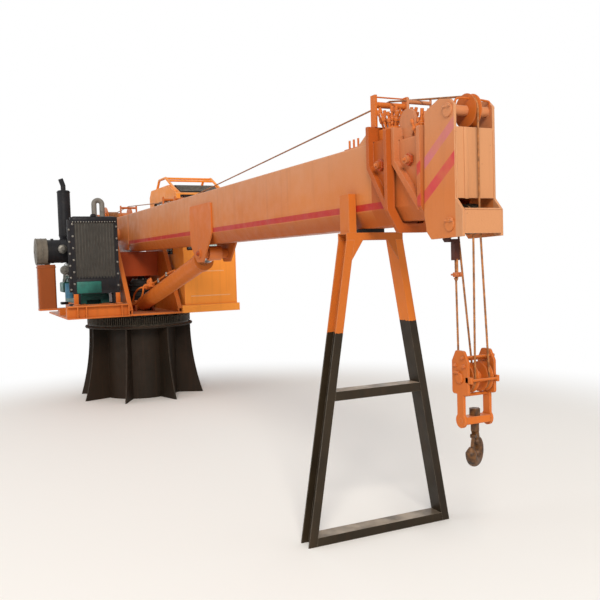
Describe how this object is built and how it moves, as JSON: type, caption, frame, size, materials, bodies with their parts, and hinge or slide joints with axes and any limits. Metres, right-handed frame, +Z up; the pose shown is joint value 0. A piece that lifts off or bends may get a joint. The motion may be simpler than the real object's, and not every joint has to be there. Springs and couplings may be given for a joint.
{
  "type": "marine crane",
  "caption": "Telescopic marine deck crane on a gusseted pedestal, with slewing platform, cab, engine, luffing cylinder, boom rest and hook block.",
  "frame": {"origin": "slewing axis at deck level, centre of the pedestal's foot", "axes": "+X along the stowed boom towards the hook, +Y towards the cab, +Z up along the slewing axis"},
  "size_m": [7.5389, 2.183, 2.604],
  "materials": {
    "orange_paint": "satin enamel",
    "black_paint": "satin enamel",
    "gear_steel": "oiled, as machined",
    "bright_steel": "turned",
    "cylinder_chrome": "hard chrome",
    "engine_paint": "satin enamel",
    "dark_metal": "matt enamel",
    "radiator_grey": "finned",
    "rope_steel": "greased strands",
    "glass": "clear",
    "rubber": "moulded",
    "vinyl": "grained",
    "grip": "moulded"
  },
  "bodies": {
    "stand": {"pedestal": "black_paint", "pedestal_gussets": "black_paint", "slew_ring_gear": "gear_steel", "rest_leg_left": "orange_paint", "rest_leg_right": "orange_paint", "rest_cross_members": "orange_paint", "rest_pads": "rubber"},
    "platform": {"turntable_deck": "orange_paint", "slew_ring_inner": "gear_steel", "turret_plate_left": "orange_paint", "turret_plate_right": "orange_paint", "turret_crossbox": "orange_paint", "boom_pivot_pin": "bright_steel", "slew_drive": "dark_metal", "swivel_joint": "dark_metal", "engine_bed": "orange_paint", "engine_block": "engine_paint", "engine_fittings": "dark_metal", "radiator_core": "radiator_grey", "radiator_frame": "dark_metal", "air_cleaner": "dark_metal", "muffler": "dark_metal", "fuel_tank": "orange_paint", "cab_shell": "orange_paint", "cab_glazing": "glass", "cab_guard": "orange_paint", "cab_seat": "vinyl", "control_console": "dark_metal"},
    "pinion": {"slew_pinion": "gear_steel"},
    "fan": {"cooling_fan": "grip"},
    "door": {"cab_door": "orange_paint"},
    "left_lever": {"lever_left": "grip"},
    "right_lever": {"lever_right": "grip"},
    "boom": {"boom_base": "orange_paint", "luff_lugs": "orange_paint", "telescope_rod": "cylinder_chrome", "winch_frame": "orange_paint", "rope_guides": "orange_paint", "hoist_rope_base": "rope_steel"},
    "drum": {"winch_drum": "gear_steel", "drum_rope": "rope_steel"},
    "cylinder_rod": {"luff_rod": "cylinder_chrome"},
    "cylinder_barrel": {"luff_barrel": "orange_paint"},
    "mid_section": {"boom_mid": "orange_paint", "telescope_barrel": "dark_metal", "hoist_rope_mid": "rope_steel"},
    "tip_section": {"boom_tip": "orange_paint", "boom_head": "orange_paint", "hoist_rope_tip": "rope_steel"},
    "head_wheel": {"head_sheave": "gear_steel"},
    "lead_wheel": {"lead_sheave": "gear_steel"},
    "return_wheel": {"return_sheave": "gear_steel"},
    "rope_hang": {"falls": "rope_steel", "wedge_socket": "gear_steel"},
    "hook_block": {"block_frame": "orange_paint"},
    "left_block_wheel": {"block_sheave_left": "gear_steel"},
    "right_block_wheel": {"block_sheave_right": "gear_steel"},
    "swing_head": {"crosshead": "gear_steel"},
    "load_hook": {"hook": "gear_steel"},
    "safety_latch": {"hook_latch": "bright_steel"}
  },
  "joints": [
    {"name": "slew", "type": "hinge", "parent": "stand", "child": "platform", "pos_m": [0, 0, 0.9], "axis": [0, 0, 1], "range_deg": [0, 345]},
    {"name": "pinion_spin", "type": "hinge", "parent": "platform", "child": "pinion", "pos_m": [-0.66, 0, 0.9], "axis": [0, 0, 1], "continuous": true},
    {"name": "luff", "type": "hinge", "parent": "platform", "child": "boom", "pos_m": [-0.4, 0, 1.93], "axis": [0, -1, 0], "range_deg": [0, 65]},
    {"name": "rod_pivot", "type": "hinge", "parent": "boom", "child": "cylinder_rod", "pos_m": [2.8, 0, 1.632], "axis": [0, -1, 0], "range_deg": [-3.5, 0.1]},
    {"name": "cylinder_stroke", "type": "slide", "parent": "cylinder_rod", "child": "cylinder_barrel", "axis": [-0.9784, 0, -0.2068], "range_m": [0, 1.08]},
    {"name": "telescope_mid", "type": "slide", "parent": "boom", "child": "mid_section", "axis": [1, 0, 0], "range_m": [0, 4.8], "deforming": ["hoist_rope_mid"]},
    {"name": "telescope_tip", "type": "slide", "parent": "mid_section", "child": "tip_section", "axis": [1, 0, 0], "range_m": [0, 4.8], "deforming": ["hoist_rope_tip"]},
    {"name": "drum_spin", "type": "hinge", "parent": "boom", "child": "drum", "pos_m": [-0.95, 0, 2.12], "axis": [0, 1, 0], "continuous": true},
    {"name": "head_sheave_spin", "type": "hinge", "parent": "tip_section", "child": "head_wheel", "pos_m": [6.307, 0, 2.196], "axis": [0, 1, 0], "continuous": true},
    {"name": "lead_sheave_spin", "type": "hinge", "parent": "tip_section", "child": "lead_wheel", "pos_m": [6.315, 0, 1.712], "axis": [0, 1, 0], "continuous": true},
    {"name": "return_sheave_spin", "type": "hinge", "parent": "tip_section", "child": "return_wheel", "pos_m": [6.315, 0, 1.712], "axis": [0, 1, 0], "continuous": true},
    {"name": "rope_swing", "type": "hinge", "parent": "tip_section", "child": "rope_hang", "pos_m": [6.315, 0, 1.712], "axis": [0, -1, 0], "range_deg": [-65.1, 0.1]},
    {"name": "hoist", "type": "slide", "parent": "rope_hang", "child": "hook_block", "axis": [0, 0, -1], "range_m": [-0.35, 0.5], "deforming": ["falls"]},
    {"name": "left_block_sheave_spin", "type": "hinge", "parent": "hook_block", "child": "left_block_wheel", "pos_m": [6.315, 0, 0.9935], "axis": [0, 1, 0], "continuous": true},
    {"name": "right_block_sheave_spin", "type": "hinge", "parent": "hook_block", "child": "right_block_wheel", "pos_m": [6.315, 0, 0.9935], "axis": [0, 1, 0], "continuous": true},
    {"name": "crosshead_tilt", "type": "hinge", "parent": "hook_block", "child": "swing_head", "pos_m": [6.315, 0, 0.7995], "axis": [0, 1, 0], "range_deg": [-20, 20]},
    {"name": "hook_swivel", "type": "hinge", "parent": "swing_head", "child": "load_hook", "pos_m": [6.315, 0, 0.7995], "axis": [0, 0, 1], "continuous": true},
    {"name": "hook_latch_hinge", "type": "hinge", "parent": "load_hook", "child": "safety_latch", "pos_m": [6.32772, -0.02035, 0.7245], "axis": [0.848, 0.5299, 0], "range_deg": [0, 25], "stiffness_Nm_per_rad": 0.3, "springref_deg": -20.05},
    {"name": "fan_spin", "type": "hinge", "parent": "platform", "child": "fan", "pos_m": [0.42, -0.6, 1.61], "axis": [1, 0, 0], "continuous": true},
    {"name": "cab_door_hinge", "type": "hinge", "parent": "platform", "child": "door", "pos_m": [-0.364, 0.989, 1.7], "axis": [0, 0, 1], "range_deg": [0, 100]},
    {"name": "left_lever_tilt", "type": "hinge", "parent": "platform", "child": "left_lever", "pos_m": [0.47, 0.59, 1.653], "axis": [0, 1, 0], "range_deg": [-20, 20], "stiffness_Nm_per_rad": 3},
    {"name": "right_lever_tilt", "type": "hinge", "parent": "platform", "child": "right_lever", "pos_m": [0.47, 0.73, 1.653], "axis": [0, 1, 0], "range_deg": [-20, 20], "stiffness_Nm_per_rad": 3}
  ],
  "couplings": [
    {"joint": "pinion_spin", "follows": "slew", "ratio": 10},
    {"joint": "rod_pivot", "follows": "luff", "ratio": -0.05203},
    {"joint": "cylinder_stroke", "follows": "luff", "m_per_rad": 0.95088},
    {"joint": "rope_swing", "follows": "luff", "ratio": -1},
    {"joint": "telescope_tip", "follows": "telescope_mid", "ratio": 1},
    {"joint": "drum_spin", "follows": "hoist", "rad_per_m": 31.872},
    {"joint": "head_sheave_spin", "follows": "hoist", "rad_per_m": 60.606},
    {"joint": "lead_sheave_spin", "follows": "hoist", "rad_per_m": 68.966},
    {"joint": "return_sheave_spin", "follows": "hoist", "rad_per_m": 34.483},
    {"joint": "left_block_sheave_spin", "follows": "hoist", "rad_per_m": 17.241},
    {"joint": "right_block_sheave_spin", "follows": "hoist", "rad_per_m": 51.724}
  ]
}
